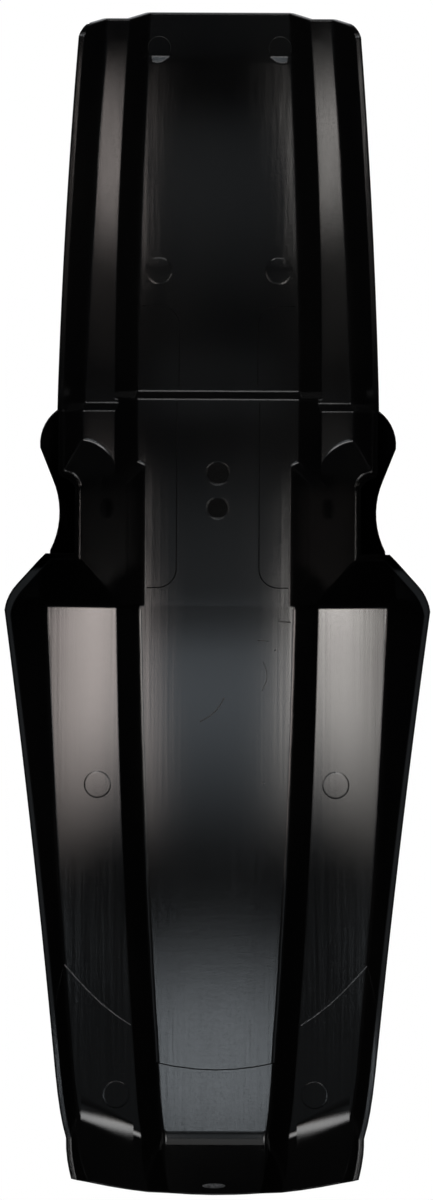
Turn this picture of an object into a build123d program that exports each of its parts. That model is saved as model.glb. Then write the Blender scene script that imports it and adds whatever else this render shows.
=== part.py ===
from build123d import *
import os
from math import asin, cos, degrees, radians, sqrt, tan

# Front mudguard for a bicycle, moulded in one piece.
# Millimetres. The origin is the centre of the crown seat, on the outer face of the waist.
# +X points to the nose, +Y to the left and +Z up. Levels and half widths are those of the inner faces.

# Shell
wall = 2.2
draft = 30.0
front_draft = 33.0
edge_radius = 1.8

# Levels
channel_depth = 16.5
tail_raise = 2.5
rear_skirt = 16.0
waist_depth = 50.0
ground_depth = 76.0

# Tail, measured back from the seat centre
tail_length = 216.0
tail_cut_tilt = 13.0
tail_floor_radius = 375.0
tail_panel_radius = 390.0
tail_floor_taper = 2580.0
tail_panel_taper = 2800.0
tail_panel_taper_start = -30.0
tail_corner_radius = 6.0
tail_rim_slope = 21.0

# Seat and waist
seat_back = 49.0
step_foot = 45.0
step_run = 3.4
step_tilt = 18.4
seat_floor_half = 36.3
seat_panel_half = 60.4
rear_wall = 12.0
floor_relief = 4.4
leg_relief = 15.6
leg_relief_foot = 4.0
waist_half = 33.0
waist_rim_back = 4.0

# Wing plates
plate_drop = 0.5
ear_back = 43.0
ear_back_half = 64.0
ear_shoulder = 34.0
ear_shoulder_half = 76.6
ear_tip = 23.0
ear_half = 79.0
ear_front = 9.0
ear_front_half = 73.4
notch_centre = 3.5
notch_half = 70.4
notch_front = 22.6
notch_front_half = 74.4

# Nose, measured forward from the seat centre
nose_front = 47.0
nose_floor_start = 47.0
nose_floor_radius = 1300.0
nose_floor_half = 35.6
nose_floor_taper = 3530.0
nose_floor_taper_start = -6.0
nose_panel_start = 62.0
nose_panel_radius = 1300.0
nose_panel_half = 77.4
nose_panel_taper = 3120.0
nose_panel_taper_start = -44.0
panel_sweep = 20.6
wing_half = 79.5
wing_inset = 5.9
wing_cut = 13.2
wing_tip_length = 11.1
wing_tip_rise = 6.2
wing_lead = 13.4
nose_length = 308.0
lip_length = 26.0
panel_lip_length = 15.5
nose_corner_setback = 8.0
nose_corner_half = 64.4
lip_slope = 32.0
lip_bend_radius = 9.0

# Marks of the mould on the inner faces: pads under the heel's ejector pins, and round stamps
heel_pin = 200.2
heel_pin_half = 27.9
heel_pin_radius = 6.7
heel_pin_line = 196.7
stamp_relief = 0.5
stamp_places = ((-11.9, 4.85), (3.6, 4.55))

# Rim of the nose, as depths below the seat
arch_depth = 38.0
arch_top = 128.0
bend_rim_depth = 51.0
tip_rim_depth = 70.0

# Worked out from the sizes above
flare = tan(radians(draft))
front_flare = tan(radians(front_draft))
sweep = tan(radians(panel_sweep))
lip_fall = tan(radians(lip_slope))
step_lean = tan(radians(step_tilt))
floor_level = -wall
panel_level = floor_level - channel_depth
rear_rim = panel_level + tail_raise - rear_skirt
ground = -ground_depth
overrun = 10.0
relief_end = rear_rim - overrun
crest = 8 * wall
margin = 1.5 * wall
steep = 0.75
shallow = 0.2
slight = 10.0
reach = 2 * ear_half
tail_back = -tail_length - overrun
nose_end = nose_length + overrun
floor_bend = nose_length - lip_length
panel_bend = nose_length - panel_lip_length


def sag(run, radius):
    """Fall of an arc that starts level, after a run along X."""
    return radius - sqrt(radius**2 - max(run, 0) ** 2)


def spread(start, end, count):
    """Evenly spaced stations from start to end."""
    return [start + (end - start) * step / (count - 1) for step in range(count)]


def tail_floor(x):
    """Half width and level of the tail's channel floor at x."""
    run = -seat_back - x
    return seat_floor_half - sag(run, tail_floor_taper), floor_level + tail_raise - sag(run, tail_floor_radius)


def tail_panel(x):
    """Outer half width and level of the tail's side panels at x."""
    half = seat_panel_half - sag(-tail_panel_taper_start - x, tail_panel_taper)
    return half, panel_level + tail_raise - sag(-seat_back - x, tail_panel_radius)


def tail_rim(x):
    return rear_rim - sag(-seat_back - x, tail_panel_radius)


def waist_floor(x):
    return waist_half, floor_level


def nose_level(x, bend, start, radius, start_level):
    """Level of the nose at x: an arc up to the bend, then the straight slope of the lip."""
    return start_level - sag(min(x, bend) - start, radius) - max(x - bend, 0) * lip_fall


def nose_floor(x):
    """Half width and level of the nose's channel floor at x."""
    half = nose_floor_half - sag(x - nose_floor_taper_start, nose_floor_taper)
    return half, nose_level(x, floor_bend, nose_floor_start, nose_floor_radius, floor_level)


def nose_panel(x):
    """Outer half width of the nose's side panels at x, and their level there."""
    half = nose_panel_half - sag(x - nose_panel_taper_start, nose_panel_taper)
    return half, nose_level(x + half * sweep, panel_bend, nose_panel_start, nose_panel_radius, panel_level)


def hull(stations, form, skin):
    """A body with drafted sides, through sections at the stations of a form."""
    grow = skin / cos(radians(draft))
    with BuildPart() as body:
        for x in stations:
            half, level = form(x)
            foot = half + grow + (level - ground) * flare
            head = half + grow - crest * flare
            top = level + crest
            with BuildSketch(Plane.YZ.offset(x)):
                with BuildLine():
                    Polyline((-foot, ground), (foot, ground), (head, top), (-head, top), close=True)
                make_face()
        loft()
    return body.part


def raised(outline, top, skin):
    """A body with drafted walls, from its outline on the ground to its outline at the top."""
    with BuildPart() as body:
        for level in (ground, top):
            with BuildSketch(Plane.XY.offset(level)):
                add(outline(level, skin))
                make_face()
        loft(ruled=True)
    return body.part


def slab(profile, slant=0):
    """A side profile stretched across the guard, square to it or swept back to both sides."""
    with BuildPart() as body:
        with BuildSketch(Plane.XZ):
            add(profile)
            make_face()
        extrude(amount=reach, dir=(-slant, 1, 0))
        mirror(about=Plane.XZ)
    return body.part


def meet_sharply(edge, top, side):
    """Whether a top face and a wall meet at this edge, at more than a slight angle."""
    if not any(edge.is_same(foot) for foot in side.edges()):
        return False
    return top.normal_at(edge @ 0.5).get_angle(side.normal_at(edge @ 0.5)) > slight


def brows(part):
    """The sharp edges where a top face meets a drafted wall."""
    tops = part.faces().filter_by(lambda face: face.normal_at().Z > steep)
    walls = part.faces().filter_by(lambda face: shallow < face.normal_at().Z < steep)
    return ShapeList(
        edge for top in tops for side in walls for edge in top.edges() if meet_sharply(edge, top, side)
    )


def crosswise(edge):
    """Whether an edge runs straight across the guard."""
    return abs((edge @ 0).X - (edge @ 1).X) < edge_radius / 4


def common(skin, *bodies):
    """The space that all the bodies share, with rounded brows: first those across, then those along."""
    radius = edge_radius + skin
    with BuildPart() as piece:
        add(bodies[0])
        for body in bodies[1:]:
            add(body, mode=Mode.INTERSECT)
        for along in (False, True):
            edges = brows(piece.part).filter_by(crosswise, reverse=along)
            if edges:
                fillet(edges, radius)
    return piece.part


def seat_block(half, level, reliefs, skin):
    """A block over the seat, with drafted walls and hollow corners at its front."""
    top = level + margin
    side = half + skin / cos(radians(draft)) + (level - ground) * flare
    front = side - half - rear_wall
    back = -seat_back - (top - ground) * flare - overrun
    with BuildPart() as body:
        with BuildSketch(Plane.XY.offset(ground)):
            with Locations(((front + back) / 2, 0)):
                Rectangle(front - back, 2 * side)
        extrude(amount=top - ground, taper=draft)
        for hand in (1, -1):
            for height, relief in zip((relief_end, top), reliefs):
                shift = (height - ground) * flare
                with BuildSketch(Plane.XY.offset(height)):
                    with Locations((front - shift, (side - shift) * hand)):
                        Circle(relief)
            loft(ruled=True, mode=Mode.SUBTRACT)
    return body.part


def front_outline(level, skin):
    """Plan of the nose from its front wall on, with cut and rounded wing tips."""
    front = nose_front - skin / cos(radians(front_draft)) - (panel_level - level) * front_flare
    share = (panel_level + 2 * wall - level) / (panel_level + 2 * wall + waist_depth)
    corner = wing_half + skin / cos(radians(draft)) - wing_inset * share
    cut_end = (front + wing_cut * share, corner + wing_cut * share)
    tip = (cut_end[0] + wing_tip_length * share, cut_end[1] + wing_tip_rise * share)
    far_side = tip[1] + (nose_end - tip[0]) * tan(radians(wing_lead))
    with BuildLine() as outline:
        Polyline((front, 0), (front, corner), cut_end)
        TangentArc(cut_end, tip, tangent=(1, 1))
        Polyline(tip, (nose_end, far_side), (nose_end, 0))
        mirror(about=Plane.XZ)
    return outline.line


def tail_profile(start_level, radius, skin, spare):
    """Side profile of the tail, from its step at the seat back between the rim and an arched inner face."""
    foot = -step_foot + (floor_level - start_level) * step_lean
    head = foot if skin else foot - step_run
    high = start_level + tail_raise + skin
    low = rear_rim - spare
    run = -seat_back - tail_back
    with BuildLine() as profile:
        step = Line((foot, start_level + skin), (head, high))
        level_run = Line(step @ 1, (-seat_back, high))
        arch = JernArc(level_run @ 1, (-1, 0), radius + skin, degrees(asin(run / radius)))
        rim = JernArc((-seat_back, low), (-1, 0), tail_panel_radius, degrees(asin(run / tail_panel_radius)))
        Polyline(step @ 0, (foot, low), rim @ 0)
        Line(arch @ 1, rim @ 1)
    return profile.line


def box_profile(back, front, low, high):
    with BuildLine() as profile:
        Polyline((back, low), (front, low), (front, high), (back, high), close=True)
    return profile.line


def waist_profile(skin):
    back = -rear_wall - overrun
    high = floor_level + skin
    with BuildLine() as profile:
        Polyline(
            (back, rear_rim),
            (-rear_wall, rear_rim),
            (-waist_rim_back, -waist_depth),
            (nose_front, -waist_depth),
            (nose_front, high),
            (back, high),
            close=True,
        )
    return profile.line


def nose_profile(start, radius, bend, start_level, skin):
    """Side profile of the nose, under one of its arched inner faces and its lip."""
    turn = degrees(asin((bend - start) / radius))
    high = start_level + skin
    with BuildLine() as profile:
        flat = Line((-seat_back, high), (start, high))
        arch = JernArc(flat @ 1, (1, 0), radius + skin, -turn)
        fold = JernArc(arch @ 1, arch % 1, lip_bend_radius + skin, turn - lip_slope)
        lip = PolarLine(fold @ 1, reach, -lip_slope)
        Polyline(lip @ 1, (-seat_back, (lip @ 1).Y), flat @ 0)
    return profile.line


def nose_rim_profile():
    back = nose_front - 4 * overrun
    with BuildLine() as profile:
        level_run = Line((back, -waist_depth), (nose_front - 2 * overrun, -waist_depth))
        arch = Spline(level_run @ 1, (arch_top, -arch_depth), (panel_bend - overrun, -bend_rim_depth))
        slope = Polyline(
            arch @ 1, (nose_length, -tip_rim_depth), (nose_end, -tip_rim_depth - overrun * lip_fall)
        )
        Polyline(slope @ 1, (nose_end, reach), (back, reach), level_run @ 0)
    return profile.line


def pieces(skin, spare):
    """The inner form of the guard at skin 0, and its outer form at the thickness of the wall."""
    tail_stations = spread(tail_back, -seat_back + overrun, 4)
    for form, level, radius in (
        (tail_floor, floor_level, tail_floor_radius),
        (tail_panel, panel_level, tail_panel_radius),
    ):
        yield common(skin, hull(tail_stations, form, skin), slab(tail_profile(level, radius, skin, spare)))
    for half, low, level, reliefs in (
        (seat_floor_half, panel_level - spare, floor_level, (floor_relief, floor_relief)),
        (seat_panel_half, rear_rim - spare, panel_level, (leg_relief_foot, leg_relief)),
    ):
        box = box_profile(-seat_back, nose_front, low, level + skin)
        yield common(skin, seat_block(half, level, reliefs, skin), slab(box))
    waist_stations = (-rear_wall - overrun, nose_front)
    yield common(skin, hull(waist_stations, waist_floor, skin), slab(waist_profile(skin)))
    limits = [slab(nose_rim_profile())] if skin else []
    floor_stations = spread(nose_front - skin, nose_end, 13)
    floor_profile = nose_profile(nose_floor_start, nose_floor_radius, floor_bend, floor_level, skin)
    yield common(skin, hull(floor_stations, nose_floor, skin), slab(floor_profile), *limits)
    panel_stations = spread(0, nose_end, 15)
    panel_profile = nose_profile(nose_panel_start, nose_panel_radius, panel_bend, panel_level, skin)
    front = raised(front_outline, panel_level + margin, skin)
    yield common(skin, hull(panel_stations, nose_panel, skin), front, slab(panel_profile, sweep), *limits)


inner_pieces = list(pieces(0, 1))
outer_pieces = list(pieces(wall, 0))

with BuildPart() as core:
    add(inner_pieces)
    for x, radius in stamp_places:
        with BuildSketch(Plane.XY.offset(floor_level - wall)):
            with Locations((x, 0)):
                Circle(radius)
        extrude(amount=wall + stamp_relief)
    heel_floor_half, heel_level = tail_floor(-heel_pin_line)
    with BuildSketch(Plane.XY.offset(heel_level)):
        with Locations((-heel_pin, heel_pin_half), (-heel_pin, -heel_pin_half)):
            Circle(heel_pin_radius)
        with Locations((-heel_pin_line, 0)):
            clear_width = 2 * (heel_floor_half - edge_radius)
            Rectangle(reach, clear_width, align=(Align.MIN, Align.CENTER), mode=Mode.INTERSECT)
    extrude(amount=2 * wall, mode=Mode.SUBTRACT)

with BuildPart() as plates:
    with BuildSketch(Plane.XY.offset(panel_level - plate_drop)):
        with BuildLine():
            ear = ThreePointArc(
                (-ear_back, ear_back_half), (-ear_shoulder, ear_shoulder_half), (-ear_tip, ear_half)
            )
            notch = ThreePointArc(
                (-ear_front, ear_front_half), (notch_centre, notch_half), (notch_front, notch_front_half)
            )
            Line(ear @ 1, notch @ 0)
            Polyline(
                notch @ 1,
                (nose_front, nose_panel(nose_front)[0]),
                (nose_front, waist_half),
                (-ear_back, waist_half),
                ear @ 0,
            )
        make_face()
        mirror(about=Plane.XZ)
    extrude(amount=wall)

with BuildPart() as ends:
    tilt = tan(radians(tail_cut_tilt))
    tail_end_level = tail_floor(-tail_length)[1]
    heel_x = -tail_length + (tail_end_level - tail_rim(-tail_length)) * tilt
    with BuildSketch(Plane.XZ) as tail_cut:
        with BuildLine():
            top = (-tail_length + (tail_end_level - reach) * tilt, reach)
            heel = Line(top, (heel_x, tail_rim(heel_x)))
            toe = PolarLine(heel @ 1, 4 * tail_corner_radius, tail_rim_slope)
            outside = -tail_length - reach
            Polyline(toe @ 1, ((toe @ 1).X, -reach), (outside, -reach), (outside, reach), top)
        make_face()
        fillet(tail_cut.vertices().sort_by_distance((heel_x, tail_rim(heel_x)))[0], tail_corner_radius)
    extrude(amount=reach, both=True)
    with BuildSketch(Plane.XY.offset(ground)):
        with BuildLine():
            corner = nose_length - nose_corner_setback
            ThreePointArc((corner, -nose_corner_half), (nose_length, 0), (corner, nose_corner_half))
            Polyline(
                (corner, nose_corner_half),
                (corner, reach),
                (nose_end + reach, reach),
                (nose_end + reach, -reach),
                (corner, -reach),
                (corner, -nose_corner_half),
            )
        make_face()
    extrude(amount=reach)

with BuildPart() as mudguard:
    add(outer_pieces)
    add(plates.part)
    add(core.part, mode=Mode.SUBTRACT)
    add(ends.part, mode=Mode.SUBTRACT)

os.makedirs("parts", exist_ok=True)
mudguard.part.label = "mudguard"
export_step(mudguard.part, "parts/mudguard.step")
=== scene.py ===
import math

import bpy
from mathutils import Matrix, Vector
from mathutils.bvhtree import BVHTree


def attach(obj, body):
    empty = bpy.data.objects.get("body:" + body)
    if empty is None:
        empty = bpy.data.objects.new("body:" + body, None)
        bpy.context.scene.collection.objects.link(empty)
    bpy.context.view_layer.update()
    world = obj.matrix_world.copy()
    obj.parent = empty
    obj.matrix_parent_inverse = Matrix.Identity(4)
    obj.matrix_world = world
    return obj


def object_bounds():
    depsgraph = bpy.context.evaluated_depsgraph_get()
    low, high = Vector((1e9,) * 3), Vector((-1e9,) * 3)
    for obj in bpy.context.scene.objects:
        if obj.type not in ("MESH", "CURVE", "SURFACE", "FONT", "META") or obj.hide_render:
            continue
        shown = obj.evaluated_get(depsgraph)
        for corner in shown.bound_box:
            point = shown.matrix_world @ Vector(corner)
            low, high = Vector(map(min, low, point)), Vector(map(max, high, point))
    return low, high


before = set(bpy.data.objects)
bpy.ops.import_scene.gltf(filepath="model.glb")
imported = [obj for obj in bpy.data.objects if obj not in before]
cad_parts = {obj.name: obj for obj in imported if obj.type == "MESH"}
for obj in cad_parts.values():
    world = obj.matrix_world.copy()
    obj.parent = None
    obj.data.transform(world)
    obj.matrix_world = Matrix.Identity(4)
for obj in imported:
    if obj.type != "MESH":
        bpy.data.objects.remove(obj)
cad_low, cad_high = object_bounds()
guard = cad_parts["mudguard"]
scene = bpy.context.scene
scene.view_settings.view_transform = "Standard"

# The photograph's frame: 433 x 1200 px at 0.444 mm per px, seen square-on from below.
MM_PER_PX = 0.444
FRAME_HEIGHT = 1200 * MM_PER_PX / 1000
FRAME_CENTRE = Vector((0.0444, 0.0004, -0.02))
CAMERA_DISTANCE = 8.0
CAMERA_ROLL = 0.255
SENSOR = 36

# The plastic: two colours and the noise that mixes them, streaks along the flow, fine grain and soft edges.
PLASTIC_DARK = (0.0024, 0.0024, 0.0026)
PLASTIC_HAZED = (0.0060, 0.0057, 0.0054)
PLASTIC_IOR = 1.49
HAZE_SCALE = (9, 22, 22)
HAZE_RANGE = (0.35, 0.75)
FLOW_SCALE = (5, 420, 120)
EVEN_SCALE = (1, 1, 1)
GRAIN_SCALE = 2600.0
GRAIN_DETAIL = 2.0
EDGE_RADIUS = 0.0010

# The floor's width, and how far below the guard it lies.
FLOOR_SIZE = 120
FLOOR_GAP = 0.0005

# The guard's two halves: the sign of y and the word in a name.
HANDS = ((1, "left"), (-1, "right"))

# Marks of the mould on the inner face, in millimetres: x forward, y to the left, and heights off the face.
PIN_MARKS = {"nose": (126.5, 52.9), "tip": (263.7, 44.0), "tail": (-102.0, 26.7)}
PIN_RADIUS = 6.0
PIN_HEIGHT = 0.10
TAIL_END_RING = (-200.3, 26.8)
TAIL_END_RADIUS = 5.0
TAIL_END_ANGLES = (70, 290)
TAIL_END_STEPS = 24
TAIL_END_WIDTH = 0.3
STAMPS = ((-11.9, 4.5), (3.6, 4.2))
STAMP_HEIGHT = 0.03
GATE_CENTRE = (304.0, 0.4)
GATE_HALF = (1.1, 5.3)
GATE_RINGS = ((1.0, -0.05), (0.75, 0.25), (0.45, 0.40))
LINE_WIDTH = 0.5
LINE_HEIGHT = 0.04
LINE_STEP = 1.5

# Rubs and specks of dirt from handling: each rub's width and path, and each speck's place.
RUBS = (
    (0.5, [(98.6, 7.5), (96.3, 3.5), (93.7, 0.4), (90.6, -1.8), (87.9, -3.2)]),
    (0.35, [(71.9, -20.5), (76.4, -22.2), (79.9, -22.2), (84.8, -20.0)]),
    (0.5, [(62.2, -17.8), (62.6, -22.7)]),
    (0.9, [(53.7, -27.1), (54.2, -32.6)]),
)
RUB_HEIGHT = 0.01
SPECKS = ((66.6, -25.8), (125.7, -20.9))
SPECK_RADIUS = 0.35
SPECK_HEIGHT = 0.05

# A pad's points round each ring. Its outer rings are its rim and stay flat-shaded.
PAD_POINTS = 48
RIM_RINGS = 2
# A round pad's rim is this wide, or this share of a small radius. Its foot lies outside and below the face.
RIM_WIDTH = 0.3
RIM_SHARE = 0.2
RIM_FOOT = 0.1
RIM_SINK = -0.05
# The top's first ring lies just inside the rim, so that the top stays level up to its edge.
TOP_START = 1.07
TOP_RINGS = (0.6, 0.35, 0.12)

# The bend at the lip: where to look for it, and how far the normal leans in it.
LIP_SEARCH = (262, 292, 0.1)
LIP_BEND = 0.34
# The rounding inside the bend: for each end its y, and its reach behind and ahead of the bend.
LIP_PANEL = ((36.2, 3.0, 8.0), (59.5, 7.5, 4.5))
LIP_MIDDLE = ((-24.5, 3.0, 3.0), (24.5, 3.0, 3.0))
LIP_ROW = 1.0
LIP_STEPS = 12

# The channel's edge: its run along x and where to look for the wall, each with a step.
CURL_RUN = (250, 48.5, 4.0)
CURL_SEARCH = (18, 48, 0.02)
# Places in from the wall, and how far the floor has risen there.
CURL_INSET = (1.5, 1.0, 0.5, 0.0)
CURL_RISE = (0.0, 0.03, 0.10, 0.20)

# A place below the guard, in millimetres, from which rays go up to its inner face.
RAY_START = -200

# Heights of the lamps below the floor, in metres, and the step from one card to the next.
CARD_Z = -0.315
CARD_STEP = 0.002
LOW_Z = -0.65
LOWEST_Z = -2.02
COOL = (0.85, 0.93, 1.0)
COOLER = (0.80, 0.90, 1.0)

# Places across the guard where a card's light starts, is full, begins to fade and ends.
ACROSS_TAIL = (0.0410, 0.0460, 0.0545, 0.0604)
ACROSS_NOSE = (0.0245, 0.0465, 0.0485, 0.0805)
ACROSS_TAIL_RIM = (0.060, 0.065, 0.075, 0.082)
ACROSS_NOSE_RIM = (0.064, 0.072, 0.100, 0.110)
ACROSS_MIDDLE = (-0.040, -0.022, 0.022, 0.040)
ACROSS_FRONT = (-0.064, -0.026, 0.026, 0.064)
ACROSS_FORE = (-0.075, -0.045, 0.045, 0.075)
ACROSS_LIP = (-0.10, -0.06, 0.06, 0.10)

# The same four places along the guard, for the cards under its two halves.
ALONG_TAIL = (-0.0195, 0.003, 0.020, 0.050)
ALONG_TAIL_END = (-0.050, -0.032, -0.020, 0.0)
ALONG_NOSE = (0.0182, 0.0402, 0.0620, 0.1140)
ALONG_TAIL_RIM = (-0.045, -0.025, 0.010, 0.030)
ALONG_NOSE_RIM = (0.070, 0.110, 0.190, 0.230)

# The cards under each half: the sign of y, the word in a name, a shift along the guard, the colour, and the
# glow and spread of the nose card.
HALF_CARDS = (
    (1, "left", 0.002, (1.0, 0.90, 0.86), 7.0, 87),
    (-1, "right", -0.004, (1.0, 0.96, 0.92), 7.7, 91),
)
TAIL_SPREAD = 94
NOSE_SLANT = 15
# How much light the other cards under a half give.
TAIL_GLOW = 9.3
TAIL_END_GLOW = 0.20
TAIL_RIM_GLOW = 1.0
NOSE_RIM_GLOW = 0.9

# The cards under the middle: name, places along and across, glow, colour, spread and height.
MIDDLE_CARDS = (
    ("under_step_floor", (-0.064, -0.054, -0.047, -0.035), ACROSS_MIDDLE, 0.20, COOL, 130, CARD_Z),
    ("under_waist", (-0.040, 0.030, 0.045, 0.075), ACROSS_MIDDLE, 0.46, COOL, 130, CARD_Z),
    ("under_middle", (0.048, 0.062, 0.068, 0.112), ACROSS_MIDDLE, 0.51, COOLER, 60, CARD_Z),
    ("under_front", (-0.454, -0.392, -0.308, -0.246), ACROSS_FRONT, 8.4, COOL, 120, LOWEST_Z),
    ("under_lip_start", (-0.75, -0.52, -0.46, -0.40), ACROSS_FRONT, 2.5, COOL, 120, LOWEST_Z),
    ("under_fore", (0.105, 0.165, 0.200, 0.230), ACROSS_FORE, 0.30, COOL, 180, CARD_Z),
)
# The low card for the lip.
ALONG_LIP = (-0.26, -0.20, -0.10, -0.06)
LIP_GLOW = 1.4

# Where the lamps behind the guard point, and the four places on the side ones where their light changes.
LIP_TARGET = (0.27, 0, -0.03)
SOFT_EDGES = (0, 0.4, 0.6, 1)

# The boards that shade the ears: their low and high corners in x and y, and their height.
FLAG_X = (-0.047, 0.043)
FLAG_Y = (0.060, 0.098)
FLAG_Z = -0.080


def node(tree, kind, **values):
    """A shader node, with values for its sockets by name and for its properties."""
    made = tree.nodes.new(kind)
    for name, value in values.items():
        if name in made.inputs:
            made.inputs[name].default_value = value
        else:
            setattr(made, name, value)
    return made


def new_material(name):
    """An empty material, with its node tree and its output."""
    material = bpy.data.materials.new(name)
    material.use_nodes = True
    tree = material.node_tree
    tree.nodes.clear()
    return material, tree, node(tree, "ShaderNodeOutputMaterial")


def stretched_noise(tree, coords, scale, noise_scale=1.0, detail=3.0):
    """Noise in the guard's own frame, with a scale for each axis."""
    mapping = node(tree, "ShaderNodeMapping", Scale=scale)
    noise = node(tree, "ShaderNodeTexNoise", Scale=noise_scale, Detail=detail)
    tree.links.new(coords, mapping.inputs["Vector"])
    tree.links.new(mapping.outputs["Vector"], noise.inputs["Vector"])
    return noise.outputs["Fac"]


def remap(tree, value, source, target):
    """A value taken from one range to another."""
    made = node(tree, "ShaderNodeMapRange")
    for socket, number in zip(("From Min", "From Max", "To Min", "To Max"), source + target):
        made.inputs[socket].default_value = number
    tree.links.new(value, made.inputs["Value"])
    return made.outputs["Result"]


def mixed_colour(tree, dark, pale, share):
    """A colour between two, by a share that varies over the surface."""
    colour = node(tree, "ShaderNodeMix", data_type="RGBA")
    colour.inputs["A"].default_value = (*dark, 1)
    colour.inputs["B"].default_value = (*pale, 1)
    tree.links.new(share, colour.inputs["Factor"])
    return colour.outputs["Result"]


def bumped(tree, height, strength, distance, normal=None):
    """A surface normal that follows a height, on top of another normal where one is given."""
    bump = node(tree, "ShaderNodeBump", Strength=strength, Distance=distance)
    tree.links.new(height, bump.inputs["Height"])
    if normal:
        tree.links.new(normal, bump.inputs["Normal"])
    return bump.outputs["Normal"]


def black_plastic():
    """Moulded black plastic: satin, with a faint lengthwise flow and handling haze."""
    material, tree, output = new_material("black_plastic")
    link = tree.links.new
    coords = node(tree, "ShaderNodeTexCoord").outputs["Object"]
    haze = stretched_noise(tree, coords, HAZE_SCALE)
    flow = stretched_noise(tree, coords, FLOW_SCALE)
    grain = stretched_noise(tree, coords, EVEN_SCALE, GRAIN_SCALE, GRAIN_DETAIL)

    share = remap(tree, haze, HAZE_RANGE, (0.0, 1.0))
    colour = mixed_colour(tree, PLASTIC_DARK, PLASTIC_HAZED, share)

    rough = node(tree, "ShaderNodeMath", operation="ADD")
    link(remap(tree, flow, (0.3, 0.7), (0.055, 0.075)), rough.inputs[0])
    link(remap(tree, haze, HAZE_RANGE, (0.0, 0.02)), rough.inputs[1])

    edge = node(tree, "ShaderNodeBevel", samples=6, Radius=EDGE_RADIUS)
    streaks = bumped(tree, flow, strength=0.08, distance=0.0002, normal=edge.outputs["Normal"])
    normal = bumped(tree, grain, strength=0.06, distance=0.0002, normal=streaks)

    shader = node(tree, "ShaderNodeBsdfPrincipled", IOR=PLASTIC_IOR)
    link(colour, shader.inputs["Base Color"])
    link(rough.outputs["Value"], shader.inputs["Roughness"])
    link(normal, shader.inputs["Normal"])
    link(shader.outputs["BSDF"], output.inputs["Surface"])
    return material


def wear_and_highlight_plastic(name, dark, pale, roughness, grain_scale, specular):
    """The same plastic where it isn't polished: torn at a seam, etched by the mould or rubbed, and pale as
    a painted highlight on the sweep lines.
    """
    material, tree, output = new_material(name)
    link = tree.links.new
    coords = node(tree, "ShaderNodeTexCoord").outputs["Object"]
    grain = stretched_noise(tree, coords, EVEN_SCALE, grain_scale, GRAIN_DETAIL)
    colour = mixed_colour(tree, dark, pale, remap(tree, grain, (0.35, 0.65), (0.0, 1.0)))
    shader = node(tree, "ShaderNodeBsdfPrincipled", Roughness=roughness)
    shader.inputs["Specular IOR Level"].default_value = specular
    link(colour, shader.inputs["Base Color"])
    link(bumped(tree, grain, strength=0.4, distance=0.0001), shader.inputs["Normal"])
    link(shader.outputs["BSDF"], output.inputs["Surface"])
    return material


def inner_face(x, y):
    """Point and normal of the guard's inner face over x and y, in millimetres."""
    point, normal, _, _ = guard_tree.ray_cast(Vector((x, y, RAY_START)) / 1000, Vector((0, 0, 1)))
    return point, normal


def add_piece(name, vertices, faces, material):
    """A piece of the guard made of points in metres."""
    mesh = bpy.data.meshes.new(name)
    mesh.from_pydata(vertices, [], faces)
    mesh.update()
    mesh.materials.append(material)
    piece = bpy.data.objects.new(name, mesh)
    scene.collection.objects.link(piece)
    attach(piece, "root")
    return piece


def add_pad(name, centre, half, rings, material):
    """A low round pad on the inner face, with each ring's share of its half sizes and its height."""
    count = PAD_POINTS
    vertices = []
    for share, lift in rings:
        for step in range(count):
            angle = 2 * math.pi * step / count
            x = centre[0] + share * half[0] * math.cos(angle)
            point, normal = inner_face(x, centre[1] + share * half[1] * math.sin(angle))
            vertices.append(point + normal * lift / 1000)
    faces = []
    for ring in range(len(rings) - 1):
        for step in range(count):
            a, b = ring * count + step, ring * count + (step + 1) % count
            faces.append((a, b, b + count, a + count))
    faces.append(tuple(range((len(rings) - 1) * count, len(rings) * count)))
    piece = add_piece(name, vertices, faces, material)
    for polygon in piece.data.polygons[RIM_RINGS * count:]:
        polygon.use_smooth = True


def add_pin_mark(name, x, y, radius, height, material):
    """A pad with a soft rim, left by an ejector pin, which bends as the face under it does."""
    rim = min(RIM_WIDTH, RIM_SHARE * radius)
    rims = ((1 + RIM_FOOT / radius, RIM_SINK), (1.0, 0.5 * height), (1 - rim / radius, height))
    tops = (1 - TOP_START * rim / radius, *TOP_RINGS)
    add_pad(name, (x, y), (radius, radius), (*rims, *((share, height) for share in tops)), material)


def add_strip(name, rows, material):
    """A smooth strip through rows of points, with each row further along +Y or -X than the last."""
    count = len(rows[0])
    faces = []
    for k in range(len(rows) - 1):
        for j in range(count - 1):
            a = k * count + j
            faces.append((a, a + count, a + count + 1, a + 1))
    piece = add_piece(name, [point for row in rows for point in row], faces, material)
    for polygon in piece.data.polygons:
        polygon.use_smooth = True


def spaced(start, end, step):
    """Evenly spaced numbers from start to end, about a step apart."""
    count = round(abs(end - start) / step)
    return [start + (end - start) * k / count for k in range(count + 1)]


def add_lip_fillet(name, ends, material):
    """The soft inside bend between the nose and its lip."""
    (y_start, back_start, ahead_start), (y_end, back_end, ahead_end) = ends
    shares = [k / LIP_STEPS for k in range(LIP_STEPS + 1)]
    rows = []
    for y in spaced(y_start, y_end, LIP_ROW):
        share = (y - y_start) / (y_end - y_start)
        back = back_start + (back_end - back_start) * share
        ahead = ahead_start + (ahead_end - ahead_start) * share
        bend = next(x for x in spaced(*LIP_SEARCH) if inner_face(x, y)[1].x < -LIP_BEND)
        before, corner, after = (inner_face(bend + step, y)[0] for step in (-back, 0, ahead))
        rows.append([before * (1 - t) ** 2 + corner * 2 * t * (1 - t) + after * t ** 2 for t in shares])
    add_strip(name, rows, material)


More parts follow.
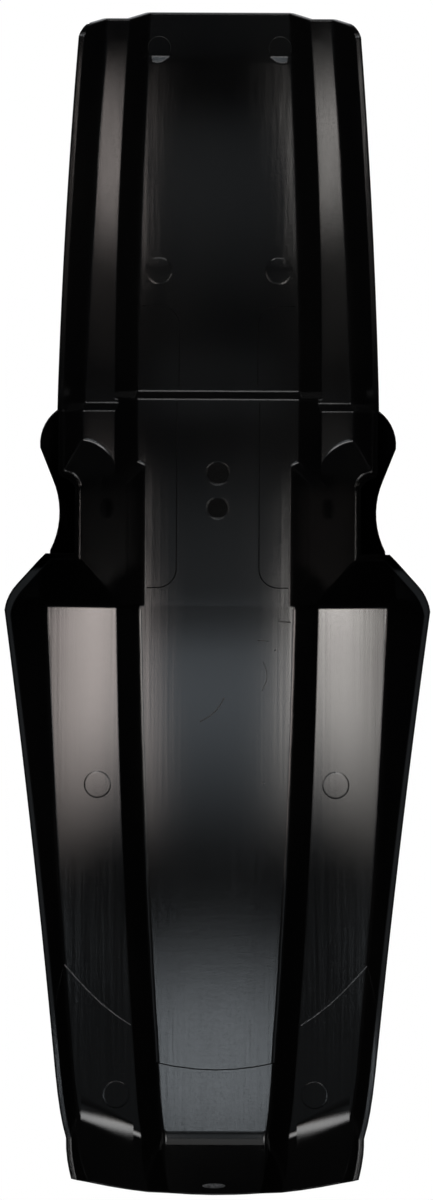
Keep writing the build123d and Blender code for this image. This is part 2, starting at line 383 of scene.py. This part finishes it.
def add_floor_curl(name, hand, material):
    """The slight upturn of the channel's floor where it meets a wall."""
    rows = []
    for x in spaced(*CURL_RUN):
        floor = inner_face(x, 0)[0]
        wall_z = floor.z - CURL_RISE[-1] / 1000
        edge = next(y for y in spaced(*CURL_SEARCH) if inner_face(x, hand * y)[0].z < wall_z)
        row = []
        for inset, rise in zip(CURL_INSET, CURL_RISE):
            row.append(Vector((floor.x, hand * (edge - inset) / 1000, floor.z - rise / 1000)))
        rows.append(row[::-1] if hand < 0 else row)
    add_strip(name, rows, material)


def dense(path):
    """Points along a path, at an even spacing."""
    points = []
    for (x0, y0), (x1, y1) in zip(path, path[1:]):
        count = max(1, round(math.hypot(x1 - x0, y1 - y0) / LINE_STEP))
        points += [(x0 + (x1 - x0) * k / count, y0 + (y1 - y0) * k / count) for k in range(count)]
    return points + [path[-1]]


def turn(centre, radius, start, end, count=8):
    """Points on an arc, with its angles in degrees."""
    angles = [math.radians(start + (end - start) * k / count) for k in range(count + 1)]
    return [(centre[0] + radius * math.cos(a), centre[1] + radius * math.sin(a)) for a in angles]


# Hairlines where two parts of the mould met, on the left half.
WITNESS_LINES = {
    "sweep": [(206.5, 67.0), (212.5, 61.7), (218.5, 56.0), (223.6, 50.6), (228.8, 44.0), (233.8, 36.4)],
    "arc": [(253.1, 0.0), (252.7, 9.0), (251.6, 18.0), (249.9, 26.4)],
    "tail_insert": [(-86.4, 34.0), *turn((-77.9, 26.0), 8.5, 180, 270), (-50.5, 17.5)],
    "seat_insert": [(-43.5, 18.4), *turn((30.5, 26.9), 8.5, 270, 360), (39.0, 31.5)],
}


def add_witness_line(name, path, width, height, material):
    """A fine ridge on the inner face."""
    points = dense(path)
    vertices = []
    for k, (x, y) in enumerate(points):
        before, after = points[max(k - 1, 0)], points[min(k + 1, len(points) - 1)]
        along = Vector((after[0] - before[0], after[1] - before[1], 0)).normalized()
        point, normal = inner_face(x, y)
        across = normal.cross(along).normalized() * width / 2000
        vertices += [point + across, point + normal * height / 1000, point - across]
    faces = []
    for k in range(len(points) - 1):
        a = 3 * k
        faces += [(a, a + 3, a + 4, a + 1), (a + 1, a + 4, a + 5, a + 2)]
    add_piece(name, vertices, faces, material)


def add_marks(plastic, pale_and_painted_highlight, etched, rubbed):
    """The small relief and wear on the inner face."""
    for hand, side in HANDS:
        for place, (x, y) in PIN_MARKS.items():
            add_pin_mark(f"{place}_pin_mark_{side}", x, y * hand, PIN_RADIUS, PIN_HEIGHT, plastic)
        for place, path in WITNESS_LINES.items():
            mirrored = [(x, y * hand) for x, y in path]
            # The sweep lines take the pale plastic, whose colour is a painted highlight along them.
            finish = pale_and_painted_highlight if place == "sweep" else etched
            add_witness_line(f"{place}_line_{side}", mirrored, LINE_WIDTH, LINE_HEIGHT, finish)
        x, y = TAIL_END_RING
        ring = turn((x, y * hand), TAIL_END_RADIUS, *TAIL_END_ANGLES, TAIL_END_STEPS)
        add_witness_line(f"tail_end_ring_{side}", ring, TAIL_END_WIDTH, LINE_HEIGHT, rubbed)
        ends = sorted((y * hand, back, ahead) for y, back, ahead in LIP_PANEL)
        add_lip_fillet(f"lip_fillet_{side}", ends, plastic)
        add_floor_curl(f"channel_edge_{side}", hand, plastic)
    add_lip_fillet("lip_fillet_middle", LIP_MIDDLE, plastic)
    # The trimmed stub on the lip where the plastic came into the mould, pale as torn plastic and as a
    # painted highlight.
    add_pad("gate_stub", GATE_CENTRE, GATE_HALF, GATE_RINGS, pale_and_painted_highlight)
    for k, (width, path) in enumerate(RUBS):
        add_witness_line(f"rub_{k + 1}", path, width, RUB_HEIGHT, rubbed)
    for k, (x, y) in enumerate(SPECKS):
        add_pin_mark(f"speck_{k + 1}", x, y, SPECK_RADIUS, SPECK_HEIGHT, pale_and_painted_highlight)
    for k, (x, radius) in enumerate(STAMPS):
        add_pin_mark(f"stamp_face_{k + 1}", x, 0, radius, STAMP_HEIGHT, etched)


def pale_floor():
    """A pale floor that shows from above and is clear from below."""
    material, tree, output = new_material("pale_floor")
    link = tree.links.new
    geometry = node(tree, "ShaderNodeNewGeometry")
    pale = node(tree, "ShaderNodeBsdfDiffuse", Color=(0.86, 0.86, 0.86, 1))
    clear = node(tree, "ShaderNodeBsdfTransparent")
    mix = node(tree, "ShaderNodeMixShader")
    link(geometry.outputs["Backfacing"], mix.inputs["Fac"])
    link(pale.outputs["BSDF"], mix.inputs[1])
    link(clear.outputs["BSDF"], mix.inputs[2])
    link(mix.outputs["Shader"], output.inputs["Surface"])
    return material


def add_floor():
    """The floor, which takes the guard's shadow and lets the lamps below it shine through."""
    bpy.ops.mesh.primitive_plane_add(size=FLOOR_SIZE, location=(0, 0, cad_low.z - FLOOR_GAP))
    floor = bpy.context.object
    floor.name = "floor"
    floor.data.materials.append(pale_floor())
    floor.visible_shadow = False
    floor.visible_glossy = False
    floor.visible_diffuse = False


def add_lamp(name, at, target, size, power, colour=(1, 1, 1)):
    """A soft rectangular lamp that points at a target and doesn't show in the picture."""
    data = bpy.data.lights.new(name, "AREA")
    data.shape = "RECTANGLE"
    data.size, data.size_y = size
    data.energy = power
    data.color = colour
    lamp = bpy.data.objects.new(name, data)
    scene.collection.objects.link(lamp)
    lamp.location = at
    lamp.rotation_euler = (Vector(target) - Vector(at)).to_track_quat("-Z", "Y").to_euler()
    lamp.visible_camera = False
    return lamp


def add_sun(name, source, strength, width):
    """Even light over the whole floor from the side that a vector points to, with soft shadows."""
    data = bpy.data.lights.new(name, "SUN")
    data.energy = strength
    data.angle = math.radians(width)
    sun = bpy.data.objects.new(name, data)
    scene.collection.objects.link(sun)
    sun.rotation_euler = Vector(source).to_track_quat("Z", "Y").to_euler()


def fade_out(lamp, along, across):
    """Lets a lamp's light fade in and out along and across it, between the four places given for each."""
    lamp.data.use_nodes = True
    tree = lamp.data.node_tree
    tree.nodes.clear()
    link = tree.links.new
    parts = node(tree, "ShaderNodeSeparateXYZ")
    link(node(tree, "ShaderNodeNewGeometry").outputs["Parametric"], parts.inputs["Vector"])
    level = None
    for axis, stops in (("X", along), ("Y", across)):
        shares = [(stop - stops[0]) / (stops[3] - stops[0]) for stop in stops]
        for dark, full in (shares[:2], shares[:1:-1]):
            step = node(tree, "ShaderNodeMapRange", interpolation_type="SMOOTHSTEP")
            step.inputs["From Min"].default_value = dark
            step.inputs["From Max"].default_value = full
            link(parts.outputs[axis], step.inputs["Value"])
            if level is None:
                level = step.outputs["Result"]
                continue
            product = node(tree, "ShaderNodeMath", operation="MULTIPLY")
            link(level, product.inputs[0])
            link(step.outputs["Result"], product.inputs[1])
            level = product.outputs["Value"]
    light = node(tree, "ShaderNodeEmission")
    output = node(tree, "ShaderNodeOutputLight")
    link(level, light.inputs["Strength"])
    link(light.outputs["Emission"], output.inputs["Surface"])


def add_card(name, along, across, glow, colour, spread=180, z=CARD_Z, slant=0):
    """A soft lamp below the guard that faces straight up, with its light given per square metre."""
    # Each card has its own height, because a ray counts just one of the lamps that share a plane.
    z -= CARD_STEP * len(bpy.data.lights)
    size = (along[3] - along[0], across[3] - across[0])
    at = ((along[0] + along[3]) / 2, (across[0] + across[3]) / 2, z)
    lamp = add_lamp(name, at, (at[0], at[1], z + 1), size, glow * size[0] * size[1], colour)
    # Turned over to face up, the lamp's own Y axis runs against the guard's.
    lamp.rotation_euler = (math.pi, 0, math.radians(slant))
    lamp.data.spread = math.radians(spread)
    fade_out(lamp, along, [-stop for stop in reversed(across)])


def add_flag(name, low, high, z):
    """A black board that keeps the lamps' light off a part of the guard and doesn't show in the picture."""
    material, tree, output = new_material(name)
    black = node(tree, "ShaderNodeBsdfDiffuse", Color=(0, 0, 0, 1))
    tree.links.new(black.outputs["BSDF"], output.inputs["Surface"])
    corners = [(low[0], low[1], z), (high[0], low[1], z), (high[0], high[1], z), (low[0], high[1], z)]
    mesh = bpy.data.meshes.new(name)
    mesh.from_pydata(corners, [], [(0, 1, 2, 3)])
    mesh.materials.append(material)
    flag = bpy.data.objects.new(name, mesh)
    scene.collection.objects.link(flag)
    flag.visible_camera = False


def set_world():
    """White to the camera, and to the guard a pale dome over the floor with darkness below it."""
    world = bpy.data.worlds.new("studio")
    scene.world = world
    world.use_nodes = True
    tree = world.node_tree
    tree.nodes.clear()
    link = tree.links.new
    path = node(tree, "ShaderNodeLightPath")
    height = node(tree, "ShaderNodeSeparateXYZ")
    link(node(tree, "ShaderNodeTexCoord").outputs["Generated"], height.inputs["Vector"])
    dome = remap(tree, height.outputs["Z"], (-0.02, 0.6), (0.02, 0.6))
    plain = node(tree, "ShaderNodeBackground", Color=(0.95, 0.97, 1, 1))
    link(dome, plain.inputs["Strength"])
    white = node(tree, "ShaderNodeBackground", Color=(1, 1, 1, 1), Strength=1.0)
    mix = node(tree, "ShaderNodeMixShader")
    output = node(tree, "ShaderNodeOutputWorld")
    link(path.outputs["Is Camera Ray"], mix.inputs["Fac"])
    link(plain.outputs["Background"], mix.inputs[1])
    link(white.outputs["Background"], mix.inputs[2])
    link(mix.outputs["Shader"], output.inputs["Surface"])


def add_camera():
    """A camera far below the guard that frames it as the photograph does."""
    data = bpy.data.cameras.new("camera")
    data.sensor_fit = "VERTICAL"
    data.sensor_width = data.sensor_height = SENSOR
    data.lens = SENSOR * CAMERA_DISTANCE / FRAME_HEIGHT
    data.clip_end = 100
    camera = bpy.data.objects.new("camera", data)
    scene.collection.objects.link(camera)
    # Image right is -Y, image up is -X, and the camera looks along +Z.
    axes = Matrix(((0, -1, 0), (-1, 0, 0), (0, 0, -1))).to_4x4()
    place = Matrix.Translation(FRAME_CENTRE - Vector((0, 0, CAMERA_DISTANCE)))
    camera.matrix_world = place @ axes @ Matrix.Rotation(math.radians(CAMERA_ROLL), 4, "Z")
    scene.camera = camera


def mirrored_stops(hand, across):
    """The places across one half of the guard, from low y to high y."""
    return sorted(hand * y for y in across)


def light_halves():
    """The cards under the side panels and rims, and the boards that shade the ears."""
    for hand, side, shift, warm, glow, spread in HALF_CARDS:
        tail = mirrored_stops(hand, ACROSS_TAIL)
        nose = mirrored_stops(hand, ACROSS_NOSE)
        tail_rim = mirrored_stops(hand, ACROSS_TAIL_RIM)
        nose_rim = mirrored_stops(hand, ACROSS_NOSE_RIM)
        tail_places = [x - shift for x in ALONG_TAIL]
        nose_places = [x + shift / 2 for x in ALONG_NOSE]
        add_card(f"under_tail_{side}", tail_places, tail, TAIL_GLOW, warm, TAIL_SPREAD)
        add_card(f"under_tail_end_{side}", ALONG_TAIL_END, tail, TAIL_END_GLOW, warm, TAIL_SPREAD)
        add_card(f"under_nose_{side}", nose_places, nose, glow, warm, spread, slant=-NOSE_SLANT * hand)
        add_card(f"under_tail_rim_{side}", ALONG_TAIL_RIM, tail_rim, TAIL_RIM_GLOW, warm)
        add_card(f"under_nose_rim_{side}", ALONG_NOSE_RIM, nose_rim, NOSE_RIM_GLOW, COOL)
        low = (FLAG_X[0], hand * FLAG_Y[0])
        add_flag(f"flag_{side}", low, (FLAG_X[1], hand * FLAG_Y[1]), FLAG_Z)


def light_middle():
    """The cards under the channel, and the lamps behind the guard for the step and the lip."""
    for name, along, across, glow, colour, spread, z in MIDDLE_CARDS:
        add_card(name, along, across, glow, colour, spread, z)
    step_target = (-0.045, 0, -0.01)
    add_lamp("under_step", at=(-0.16, 0, -0.20), target=step_target, size=(0.12, 0.06), power=0.10)
    add_card("under_lip", ALONG_LIP, ACROSS_LIP, LIP_GLOW, COOL, z=LOW_Z)
    add_lamp("under_back", at=(-0.40, 0, LOW_Z), target=LIP_TARGET, size=(0.16, 0.24), power=0.08)
    for hand, side in HANDS:
        at = (-0.29, hand * 0.166, LOW_Z)
        back = add_lamp(f"under_back_{side}", at, LIP_TARGET, size=(0.235, 0.27), power=1.14)
        fade_out(back, SOFT_EDGES, SOFT_EDGES)


def light_outside():
    """The lamps above the floor, for the outside of the guard."""
    add_lamp("over_left", at=(-0.3, 1.2, 1.4), target=(0, 0, 0), size=(1.6, 1.0), power=7.0)
    add_lamp("over_right", at=(0.6, -1.3, 1.0), target=(0, 0, 0), size=(2.0, 1.6), power=4.0)
    add_sun("over_sun", source=(-0.35, 0.3, 1.0), strength=1.2, width=25)


plastic = black_plastic()
guard.data.materials.clear()
guard.data.materials.append(plastic)
guard_tree = BVHTree.FromPolygons(
    [guard.matrix_world @ vertex.co for vertex in guard.data.vertices],
    [polygon.vertices for polygon in guard.data.polygons],
)
# Pale plastic: its colour is a painted highlight on the sweep lines, torn plastic with a painted highlight
# on the gate stub, and dirt on the specks.
pale_and_painted_highlight = wear_and_highlight_plastic("pale_plastic_and_painted_highlight", (0.12, 0.12, 0.125), (0.30, 0.30, 0.31), 0.45, 900.0, 0.1)
etched = wear_and_highlight_plastic("etched_plastic", (0.0015, 0.0015, 0.0016), (0.006, 0.006, 0.006), 0.6, 1500.0, 0.06)
rubbed = wear_and_highlight_plastic("rubbed_plastic", (0.004, 0.004, 0.004), (0.014, 0.014, 0.013), 0.3, 700.0, 0.33)
add_marks(plastic, pale_and_painted_highlight, etched, rubbed)
add_floor()
set_world()
add_camera()
light_halves()
light_middle()
light_outside()
